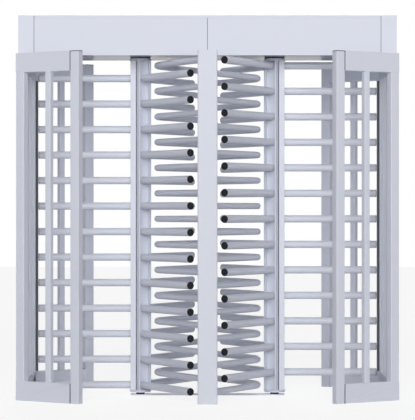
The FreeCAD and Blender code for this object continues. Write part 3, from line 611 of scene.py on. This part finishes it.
def turned(name, profile, sides, hollow=False, material=None):
    """A shape turned round the x axis from (x, radius) points. A hollow one is a ring.
    A third number in a point gives it that many flats, for a nut or a key socket."""
    shape = bmesh.new()
    rings = []
    for x, radius, *flats in profile:
        ring = []
        for i in range(sides if radius else 1):
            turn = math.tau * i / sides
            reach = radius
            if flats:
                share = math.tau / flats[0]
                reach /= math.cos((turn + share / 2) % share - share / 2)
            ring.append(shape.verts.new((x, reach * math.cos(turn), reach * math.sin(turn))))
        rings.append(ring)
    for near, far in zip(rings, rings[1:] + (rings[:1] if hollow else [])):
        for i in range(sides):
            j = (i + 1) % sides
            corners = [near[i % len(near)], far[i % len(far)], far[j % len(far)],
                       near[j % len(near)]]
            shape.faces.new(list(dict.fromkeys(corners)))
    bmesh.ops.recalc_face_normals(shape, faces=shape.faces)
    mesh = mesh_of(shape, name, material)
    mesh.shade_smooth()
    mesh.set_sharp_from_angle(angle=CREASE)
    return mesh


def upright(name, profile, sides, at=(0.0, 0.0, 0.0), hollow=False, material=None):
    """A turned shape that stands along z, moved to its place."""
    mesh = turned(name, profile, sides, hollow, material)
    mesh.transform(Matrix.Rotation(-math.pi / 2, 4, "Y"))
    mesh.transform(Matrix.Translation(at))
    return mesh


def eased(out, across, radius, start, end):
    """A rounded corner of a channel's outline, in even steps between two angles."""
    return [(out + radius * math.cos(turn), across + radius * math.sin(turn), COLUMN_BOTTOM)
            for turn in turns(start, end, CORNER_STEPS)]


def channel_mesh(name):
    """One channel of the column, open along x, from the lower disc to the upper one."""
    inside = CHANNEL_HALF - FLANGE
    heel = CHANNEL_BACK + HEEL_RADIUS, CHANNEL_HALF - HEEL_RADIUS
    root = CHANNEL_BACK + WEB + ROOT_RADIUS, inside - ROOT_RADIUS
    outline = ([(CHANNEL_TOE, CHANNEL_HALF, COLUMN_BOTTOM)] +
               eased(heel[0], heel[1], HEEL_RADIUS, 90, 180) +
               eased(heel[0], -heel[1], HEEL_RADIUS, 180, 270) +
               [(CHANNEL_TOE, -CHANNEL_HALF, COLUMN_BOTTOM),
                (CHANNEL_TOE, -inside, COLUMN_BOTTOM)] +
               eased(root[0], -root[1], ROOT_RADIUS, 270, 180) +
               eased(root[0], root[1], ROOT_RADIUS, 180, 90) +
               [(CHANNEL_TOE, inside, COLUMN_BOTTOM)])
    shape = bmesh.new()
    slab(shape, outline, (0.0, 0.0, COLUMN_TOP - COLUMN_BOTTOM))
    return mesh_of(shape, name)


for side, sign in SIDES:
    rotor = side + "_rotor"
    name = side + "_column_channels"
    wings = {**NOT_REPEATED, "Wings": WINGS, "First Wing": FIRST_WING[side],
             "Axis X": sign * ROTOR_X}
    channels = grown(name, ROWS_AND_WINGS, channel_mesh(name), powder_coat, wings, rotor,
                     side + "_column")
    round_edges(channels, CHANNEL_EDGE, segments=3)
    for label, profile, sides, hollow in (("core_tube", CORE_TUBE, CORE_SIDES, False),
                                          ("dirt_ring", DIRT_RING, RING_SIDES, True),
                                          ("seal_cup", SEAL_CUP, RING_SIDES, True)):
        name = side + "_" + label
        placed(name, upright(name, profile, sides, (sign * ROTOR_X, 0.0, 0.0), hollow,
                             powder_coat), rotor)
    dressed(side + "_column_end_discs", side + "_column_flanges", powder_coat, rotor,
            DISC_EDGE)

# Rotor arms
# Straight 45 mm steel tubes in three wings of thirteen, each welded to the web of its channel.
# A black moulded cap with a rounded rim closes each outer end.
ARM_RADIUS = 0.0225
ARM_START = CHANNEL_BACK + WEB
ARM_REACH = 0.622
ARM_EASE = 0.0005
CAP_DEPTH = 0.0035
CAP_RIM = 0.0014
CAP_EASE = 0.0004
RIM_STEPS = 4

arm_end = ARM_REACH - CAP_DEPTH
arm_profile = [(ARM_START, 0.0), (ARM_START, ARM_RADIUS), (ARM_START + END_LAND, ARM_RADIUS),
               (arm_end - 2 * END_LAND, ARM_RADIUS), (arm_end - END_LAND, ARM_RADIUS),
               (arm_end, ARM_RADIUS - ARM_EASE), (arm_end, 0.0)]
cap_profile = [(arm_end, 0.0), (arm_end, ARM_RADIUS - CAP_EASE),
               (arm_end + CAP_EASE, ARM_RADIUS)]
cap_profile += [(ARM_REACH - CAP_RIM * (1 - math.sin(turn)),
                 ARM_RADIUS - CAP_RIM * (1 - math.cos(turn)))
                for turn in turns(0, 90, RIM_STEPS)] + [(ARM_REACH, 0.0)]
weld_ring = [(ARM_START, ARM_RADIUS * math.cos(turn), ARM_RADIUS * math.sin(turn))
             for turn in FULL_RING]
for (side, sign), first_row in zip(SIDES, (LEFT_ROW, RIGHT_ROW)):
    wings = {**NOT_REPEATED, "Rows": ROWS, "First Row": first_row, "Wings": WINGS,
             "First Wing": FIRST_WING[side], "Axis X": sign * ROTOR_X}
    bead = grown_mesh(side + "_arm_weld", WELD_BEADS,
                      path_mesh(side + "_arm_weld_line", weld_ring, closed=True), powder_coat,
                      BEAD)
    for label, shape, material, slot, replaced in (
            ("arms", turned(side + "_arm", arm_profile, ROUND_SIDES), powder_coat,
             "powder_coat", side + "_arms"),
            ("arm_caps", turned(side + "_cap", cap_profile, ROUND_SIDES), black_trim,
             "black_trim", side + "_arm_caps"),
            ("arm_welds", bead, powder_coat, "powder_coat", None)):
        grown(side + "_wing_" + label, ROWS_AND_WINGS, shape, material, wings, side + "_rotor",
              replaced)

# Drive head casing
# Folded steel sheet in the same powder coat: two end caps, front and rear covers and a
# long lid with turned-down lips, over a floor sheet whose underside is glossier and painted
# a darker grey, as painted shade.
CASING_EDGE = 0.0009
# The floor sheet's grey is the powder coat darkened: painted shade under the head, not a paint of
# its own.
SHADED_UNDERSIDE = (0.3, 0.312, 0.35, 1.0)
SHADED_UNDERSIDE_WORN = (0.38, 0.39, 0.42, 1.0)
shaded_gloss_coat = coated("Glossy underside, painted shade", SHADED_UNDERSIDE, SHADED_UNDERSIDE_WORN, cloud=0.012, specular=0.1,
                    roughness=0.22, grain=0.0018, relief=0.00001, wear=0.3)
dressed("head_floor_sheet", "head_floor", shaded_gloss_coat, "root", CASING_EDGE)
for side, _ in SIDES:
    dressed(side + "_end_cap_casing", side + "_end_cap", powder_coat, "root",
            CASING_EDGE)
    for end, _ in ENDS:
        name = side + "_" + end
        dressed(name + "_cover_sheet", name + "_cover", powder_coat, name + "_panel",
                CASING_EDGE)
dressed("head_lid_sheet", "head_lid", powder_coat, "lid", CASING_EDGE)

# Seam strips of the drive head
# Black rubber strips pushed into the gaps between the covers, the lid and the end caps, set
# a little behind the painted faces. The middle ones are held by the frame's uprights.
SEAM_X = 1.043
STRIP_THICKNESS = 0.0021
STRIP_RECESS = 0.0015
STRIP_BAND = 0.015
FACE_Y = 0.234
HEAD_TOP = 2.3
STRIP_FOOT = 2.0642
UPRIGHT_Y = 0.21
MIDDLE_STRIP_TOP = 2.2834

strips = bmesh.new()
outer_y = FACE_Y - STRIP_RECESS
inner_y = outer_y - STRIP_BAND
outer_z = HEAD_TOP - STRIP_RECESS
inner_z = outer_z - STRIP_BAND
arch = [(-outer_y, STRIP_FOOT), (-outer_y, outer_z), (outer_y, outer_z), (outer_y, STRIP_FOOT),
        (inner_y, STRIP_FOOT), (inner_y, inner_z), (-inner_y, inner_z), (-inner_y, STRIP_FOOT)]
depth = (STRIP_THICKNESS, 0.0, 0.0)
for x in (-SEAM_X, SEAM_X):
    slab(strips, [(x - STRIP_THICKNESS / 2, y, z) for y, z in arch], depth)
for way in (-1, 1):
    middle = [(way * UPRIGHT_Y, STRIP_FOOT), (way * outer_y, STRIP_FOOT),
              (way * outer_y, MIDDLE_STRIP_TOP), (way * UPRIGHT_Y, MIDDLE_STRIP_TOP)]
    slab(strips, [(-STRIP_THICKNESS / 2, y, z) for y, z in middle], depth)
placed("head_seam_strips", mesh_of(strips, "head_seam_strips", seal_rubber), "root")

# Lid screws
# Zinc-plated button-head screws with a pressed key socket, in two rows of five. They fix the
# lid to the frame's top tubes.
LID_SCREW_Y = 0.19
LID_SCREW_SPACING = 0.48
LID_SCREW_ROW = 5
SCREW_SIDES = 24


def grid_tree():
    """One shape repeated on an even level grid."""
    tree, start, end = geometry_tree("Even grid", {
        "Count X": "Int", "Count Y": "Int", "Length X": "Float", "Length Y": "Float",
        "Centre": "Vector"})
    size = start.outputs
    grid = node(tree, "GeometryNodeMeshGrid", {
        "Size X": size["Length X"], "Size Y": size["Length Y"], "Vertices X": size["Count X"],
        "Vertices Y": size["Count Y"]})
    shift = node(tree, "GeometryNodeTransform", {"Geometry": grid, "Translation": size["Centre"]})
    spread = node(tree, "GeometryNodeInstanceOnPoints", {"Points": shift, "Instance": start})
    return finish_tree(tree, start, end, spread)


def screws(name, head, counts, lengths, centre, body):
    """Rows of one screw head on a level face."""
    sizes = {"Count X": counts[0], "Count Y": counts[1], "Length X": lengths[0],
             "Length Y": lengths[1], "Centre": centre}
    grown(name, EVEN_GRID, head, zinc_plate, sizes, body)


# What all metal here shares, as for paint, with the depth of its scratches. Then how dark its
# tarnish is, and how bright a rubbed edge.
METAL = {"relief": 0.00003, "wear": 0.7, "rub_reach": 0.0012, "rub_patch": 0.02,
         "cloud_band": (0.2, 0.8), "gloss_band": (-0.08, 0.08)}
TARNISHED = 0.8
RUBBED_BRIGHT = 1.15


def metal(name, colour, cloud_size=0.05, **sizes):
    """Bare or plated metal: scratches, cloudy tarnish and, on zinc, crystal spangle."""
    material, shader = surface(name, (shade(colour, TARNISHED), colour),
                               shade(colour, RUBBED_BRIGHT), cloud_size=cloud_size, **METAL,
                               **sizes)
    shader.inputs["Metallic"].default_value = 1.0
    return material


EVEN_GRID = grid_tree()
ZINC = (0.6, 0.61, 0.62, 1.0)
zinc_plate = metal("Zinc plate", ZINC, cloud_size=0.01, roughness=0.34, grain=0.0006)
BUTTON_HEAD = [(0.0, 0.0), (0.0, 0.0056), (0.0004, 0.0056), (0.0008, 0.0048), (0.0009, 0.0032),
               (0.0009, 0.002, 6), (0.0002, 0.0019, 6), (0.0002, 0.0)]
screws("lid_screws", upright("lid_screw", BUTTON_HEAD, SCREW_SIDES), (LID_SCREW_ROW, 2),
       ((LID_SCREW_ROW - 1) * LID_SCREW_SPACING, 2 * LID_SCREW_Y), (0.0, 0.0, HEAD_TOP), "lid")

# Rotor pivots and shafts
# Machined and blackened steel: a drive shaft from each column up into the head, with a
# clamping bolt on its square end, and a floor pin in a sintered bronze bush at its foot.
SHAFT_TOP = 2.19
PIN_EDGE = 0.0008
SHAFT_EDGE = 0.001
BUSH_EDGE = 0.0005
CLAMP_HEIGHT = 1.5
STEEL = (0.56, 0.57, 0.58, 1.0)
BRONZE = (0.62, 0.42, 0.2, 1.0)
OXIDE = (0.05, 0.051, 0.055, 1.0)
BARE_IRON = (0.2, 0.2, 0.21, 1.0)
steel = metal("Machined steel", STEEL, roughness=0.32, grain=0.0008)
bronze = metal("Sintered bronze", BRONZE, roughness=0.4, grain=0.0006)
black_oxide = coated("Black oxide steel", OXIDE, BARE_IRON, specular=0.1, roughness=0.5,
                     grain=0.0009, relief=0.00004, wear=0.35)
HEX_BOLT = [(0.0, 0.0), (0.0, 0.0105), (0.0014, 0.0105), (0.0016, 0.0103), (0.0016, 0.0065, 6),
            (0.0058, 0.0065, 6), (0.0068, 0.006), (0.0068, 0.0)]
CLAMP_BOLT = [(x * CLAMP_HEIGHT, *rest) for x, *rest in HEX_BOLT]
dressed("pivot_pins_finished", "pivot_pins", black_oxide, "root", PIN_EDGE)
dressed("shaft_seals_rubber", "shaft_seals", seal_rubber, "root", TRIM_EDGE)
for side, sign in SIDES:
    rotor = side + "_rotor"
    dressed(side + "_shaft_steel", side + "_drive_shaft", black_oxide, rotor,
            SHAFT_EDGE)
    dressed(side + "_bush_bronze", side + "_pivot_bush", bronze, rotor, BUSH_EDGE)
    name = side + "_shaft_clamp_bolt"
    placed(name, upright(name, CLAMP_BOLT, SCREW_SIDES, (sign * ROTOR_X, 0.0, SHAFT_TOP),
                         material=zinc_plate), rotor)

# Bearings and their housings
# A painted casting bolted to the floor sheet holds a sealed ball bearing round each shaft:
# a hard outer and inner ring with a black shield between them.
HOUSING_BOLTS = 0.133
HOUSING_EDGE = 0.0014
FLANGE_TOP = 2.074
BEARING_TOP = 2.094
BEARING_EASE = 0.0005
BEARING_SIDES = 48
CAST_PAINT = (0.09, 0.095, 0.105, 1.0)
cast_paint = coated("Painted casting", CAST_PAINT, BARE_IRON, roughness=0.5, grain=0.0022,
                    relief=0.0002, wear=0.5)
dressed("bearing_housings_finished", "bearing_housings", cast_paint, "root",
        HOUSING_EDGE, segments=3)
RINGS = ((0.0415, 0.04745, 0.0), (0.03005, 0.0355, 0.0))
SHIELD = (0.0355, 0.0415, 0.0008)


def ring_profile(inner, outer, recess):
    """Section of a bearing's ring or shield, with eased corners."""
    low, high, ease = FLANGE_TOP + recess, BEARING_TOP - recess, BEARING_EASE
    return [(low, inner + ease), (low, outer - ease), (low + ease, outer),
            (high - ease, outer), (high, outer - ease), (high, inner + ease),
            (high - ease, inner), (low + ease, inner)]


for name, parts, material, slot, replaced in (
        ("bearing_rings", RINGS, steel, "bare_steel", "bearings"),
        ("bearing_shields", (SHIELD,), seal_rubber, "black_trim", None)):
    shape = bmesh.new()
    for part in parts:
        for _, sign in SIDES:
            shape.from_mesh(upright(name, ring_profile(*part), BEARING_SIDES,
                                    (sign * ROTOR_X, 0.0, 0.0), hollow=True))
    placed(name, mesh_of(shape, name, material), "root", replaced)
for side, sign in SIDES:
    screws(side + "_housing_bolts", upright("bolt", HEX_BOLT, SCREW_SIDES), (2, 2),
           (HOUSING_BOLTS, HOUSING_BOLTS), (sign * ROTOR_X, 0.0, FLANGE_TOP), "root")

# Index cams and locking pawls
# Ground steel cams turn with the rotors. Four steel pawls swing on pins into their notches,
# and a spring clip over a washer keeps each pawl on its pin.
PAWL_X = 0.49
PAWL_Y = 0.14
PAWL_TOPS = {"front": 2.113, "rear": 2.135}
GROUND_EDGE = 0.0006
PAWL_EDGE = 0.0008
WASHER = [(0.0002, 0.0063), (0.0002, 0.0098), (0.0004, 0.01), (0.001, 0.01), (0.0012, 0.0098),
          (0.0012, 0.0063)]
CLIP = [(0.002, 0.0059), (0.002, 0.0086), (0.0022, 0.0088), (0.0029, 0.0088), (0.0031, 0.0086),
        (0.0031, 0.0059)]
dressed("pawl_pins_finished", "pawl_pins", steel, "root", GROUND_EDGE)
retainers = bmesh.new()
for side, sign in SIDES:
    dressed(side + "_cam_steel", side + "_index_cam", steel, side + "_rotor",
            GROUND_EDGE)
    for end, way in ENDS:
        name = side + "_" + end
        dressed(name + "_pawl_steel", name + "_pawl", steel, name + "_lock",
                PAWL_EDGE)
        for profile in (WASHER, CLIP):
            retainers.from_mesh(upright(name + "_retainer", profile, SCREW_SIDES,
                                        (sign * PAWL_X, way * PAWL_Y, PAWL_TOPS[end]),
                                        hollow=True))
placed("pawl_retainers", mesh_of(retainers, "pawl_retainers", zinc_plate), "root")

# Solenoids
# A black taped coil in a folded zinc-plated yoke, on a stand screwed to the floor sheet. A
# steel plunger slides in it and pushes the tail of its pawl.
YOKE_PLATE = 0.003
YOKE_EDGE = 0.0006
COIL_MARGIN = 0.0012
COIL_CORNER = 0.005
COIL_HEIGHT = 0.04
STAND_MARGIN = 0.004
PLUNGER_EDGE = 0.0004
TAPE = (0.035, 0.037, 0.042, 1.0)
TAPE_WORN = (0.12, 0.12, 0.13, 1.0)
coil_tape = coated("Coil tape", TAPE, TAPE_WORN, roughness=0.42, grain=0.0008, relief=0.00012,
                   wear=0.4)


def block(shape, low, high):
    """Adds a rectangular block between two corners."""
    slab(shape, [(low[0], low[1], low[2]), (high[0], low[1], low[2]),
                 (high[0], high[1], low[2]), (low[0], high[1], low[2])],
         (0.0, 0.0, high[2] - low[2]))


cases = merged_copy("solenoids")
coils, yokes, stands = bmesh.new(), bmesh.new(), bmesh.new()
for _, sign in SIDES:
    for _, way in ENDS:
        corners = [vert.co for vert in cases.verts
                   if vert.co.x * sign > 0 and vert.co.y * way > 0]
        low, high = (Vector([pick(corner[axis] for corner in corners) for axis in range(3)])
                     for pick in (min, max))
        base = high.z - COIL_HEIGHT
        block(coils, (low.x + COIL_MARGIN, low.y + YOKE_PLATE, base + YOKE_PLATE),
              (high.x - COIL_MARGIN, high.y - YOKE_PLATE, high.z - COIL_MARGIN))
        block(yokes, (low.x, low.y, base), (high.x, high.y, base + YOKE_PLATE))
        for y in (low.y, high.y - YOKE_PLATE):
            block(yokes, (low.x, y, base + YOKE_PLATE), (high.x, y + YOKE_PLATE, high.z))
        block(stands, (low.x + STAND_MARGIN, low.y + STAND_MARGIN, low.z),
              (high.x - STAND_MARGIN, high.y - STAND_MARGIN, base))
        block(stands, (low.x, low.y, low.z), (high.x, high.y, low.z + YOKE_PLATE))
cases.free()
for name, shape, material, slot, replaced, width, segments in (
        ("solenoid_coils", coils, coil_tape, "coil_case", "solenoids", COIL_CORNER, 4),
        ("solenoid_yokes", yokes, zinc_plate, "bare_steel", None, YOKE_EDGE, 2),
        ("solenoid_stands", stands, zinc_plate, "bare_steel", None, YOKE_EDGE, 2)):
    round_edges(placed(name, mesh_of(shape, name, material), "root", replaced), width,
                segments)
for side, _ in SIDES:
    for end, _ in ENDS:
        name = side + "_" + end
        dressed(name + "_plunger_steel", name + "_plunger", steel, name + "_rod",
                PLUNGER_EDGE)

# Head frame
# Galvanised square tube, cut square and welded into a long box. It carries the casing, and its
# uprights hold the middle seam strips.
FRAME_EDGE = 0.0011
GALVANISED = (0.5, 0.52, 0.54, 1.0)
galvanised = metal("Galvanised tube", GALVANISED, roughness=0.42, grain=0.002, spangle=0.012)
dressed("head_frame_finished", "head_frame", galvanised, "root", FRAME_EDGE)
welded("head_frame_welds", ["head_frame"], ["head_frame"], galvanised)

# Control box
# Grey moulded cabinet for the control board. Four screws hold its lid, and three closed
# black cable glands wait along its front.
CONTROL_TOP = 2.138
CONTROL_EDGE = 0.0016
CONTROL_SCREWS = (0.276, 0.156)
GLAND_Y = -0.086
GLAND_Z = 2.1
GLAND_SPACING = 0.06
GLAND = [(0.0, 0.0), (0.0, 0.0115), (0.001, 0.012, 6), (0.005, 0.012, 6), (0.0052, 0.0102),
         (0.013, 0.01), (0.016, 0.0088), (0.0172, 0.0065), (0.0172, 0.005), (0.0162, 0.0045),
         (0.0162, 0.0)]
CONTROL_GREY = (0.26, 0.27, 0.29, 1.0)
CONTROL_WORN = (0.34, 0.35, 0.37, 1.0)
control_plastic = coated("Control case", CONTROL_GREY, CONTROL_WORN, roughness=0.48,
                         grain=0.0009, relief=0.00007, wear=0.3)
dressed("control_box_finished", "control_box", control_plastic, "root",
        CONTROL_EDGE, segments=3)
screws("control_lid_screws", upright("control_lid_screw", BUTTON_HEAD, SCREW_SIDES), (2, 2),
       CONTROL_SCREWS, (0.0, 0.0, CONTROL_TOP), "root")
glands = bmesh.new()
for step in (-1, 0, 1):
    gland = turned("gland", GLAND, SCREW_SIDES)
    gland.transform(Matrix.Translation((step * GLAND_SPACING, GLAND_Y, GLAND_Z)) @
                    Matrix.Rotation(-math.pi / 2, 4, "Z"))
    glands.from_mesh(gland)
placed("cable_glands", mesh_of(glands, "cable_glands", black_trim), "root")

# Studio
# A pale floor and plain soft light: a broad lamp from the camera's side, one from behind and a
# weak one from above, in an even white surround. The camera looks level from the photograph's
# distance.
AMBIENT = 0.02
# Each lamp's strength, and in degrees its height, its turn from the front and its spread.
LAMPS = (("Key light", 1.45, 1.0, 0.0, 66.0), ("Back light", 1.0, 6.0, 180.0, 30.0),
         ("Top light", 0.1, 85.0, 180.0, 30.0))
FLOOR_REACH = 30.0
FLOOR_GREY = 0.8
FLOOR_SHADE = 0.25
FLOOR_GLOW = 0.82
SENSOR_WIDTH = 36.0
LENS = 186.5
CAMERA_PLACE = (0.0, -13.311, 1.13)
SEEN_AS_FAR_AS = 200.0


def bare_tree(owner):
    """The node tree of a world or material, with nothing in it yet."""
    owner.use_nodes = True
    owner.node_tree.nodes.clear()
    return owner.node_tree


def ray_is(tree, *kinds):
    """One for a ray of any of these kinds, and nought for others."""
    path = node(tree, "ShaderNodeLightPath")
    seen = path.outputs[kinds[0]]
    for kind in kinds[1:]:
        seen = maths(tree, "MAXIMUM", seen, path.outputs[kind])
    return seen


world = bpy.data.worlds.new("Studio surround")
bpy.context.scene.world = world
tree = bare_tree(world)
shown = ray_is(tree, "Is Camera Ray", "Is Transmission Ray", "Is Glossy Ray")
level = node(tree, "ShaderNodeMapRange", {"Value": shown, "To Min": AMBIENT, "To Max": 1.0})
surround = node(tree, "ShaderNodeBackground", {"Color": (1.0, 1.0, 1.0, 1.0), "Strength": level})
node(tree, "ShaderNodeOutputWorld", {"Surface": surround})

for name, strength, elevation, turn, spread in LAMPS:
    lamp = bpy.data.lights.new(name, "SUN")
    lamp.energy = strength * math.pi
    lamp.angle = math.radians(spread)
    lamp_object = bpy.data.objects.new(name, lamp)
    lamp_object.rotation_euler = (math.radians(90.0 - elevation), 0.0, math.radians(turn))
    lamp_object.visible_glossy = False
    bpy.context.collection.objects.link(lamp_object)

floor_mesh = bpy.data.meshes.new("Studio floor")
floor_mesh.from_pydata([(-FLOOR_REACH, -FLOOR_REACH, 0), (FLOOR_REACH, -FLOOR_REACH, 0),
                        (FLOOR_REACH, FLOOR_REACH, 0), (-FLOOR_REACH, FLOOR_REACH, 0)], [],
                       [(0, 1, 2, 3)])
floor = bpy.data.objects.new("Studio_floor", floor_mesh)
bpy.context.collection.objects.link(floor)
floor_material = bpy.data.materials.new("Pale floor")
tree = bare_tree(floor_material)
pale = node(tree, "ShaderNodeBsdfDiffuse", {"Color": (*[FLOOR_GREY] * 3, 1.0)})
shaded = node(tree, "ShaderNodeBsdfDiffuse", {"Color": (*[FLOOR_SHADE] * 3, 1.0)})
glow = node(tree, "ShaderNodeEmission", {"Color": (1.0, 1.0, 1.0, 1.0), "Strength": FLOOR_GLOW})
shown = node(tree, "ShaderNodeAddShader", {0: shaded, 1: glow})
mixed = node(tree, "ShaderNodeMixShader", {"Fac": ray_is(tree, "Is Camera Ray", "Is Glossy Ray"),
                                           1: pale, 2: shown})
node(tree, "ShaderNodeOutputMaterial", {"Surface": mixed})
floor_mesh.materials.append(floor_material)

camera_data = bpy.data.cameras.new("Camera")
camera_data.sensor_width = SENSOR_WIDTH
camera_data.lens = LENS
camera_data.clip_end = SEEN_AS_FAR_AS
camera = bpy.data.objects.new("Camera", camera_data)
camera.location = CAMERA_PLACE
camera.rotation_euler = (math.pi / 2, 0.0, 0.0)
bpy.context.collection.objects.link(camera)
bpy.context.scene.camera = camera
bpy.context.scene.view_settings.view_transform = "Standard"
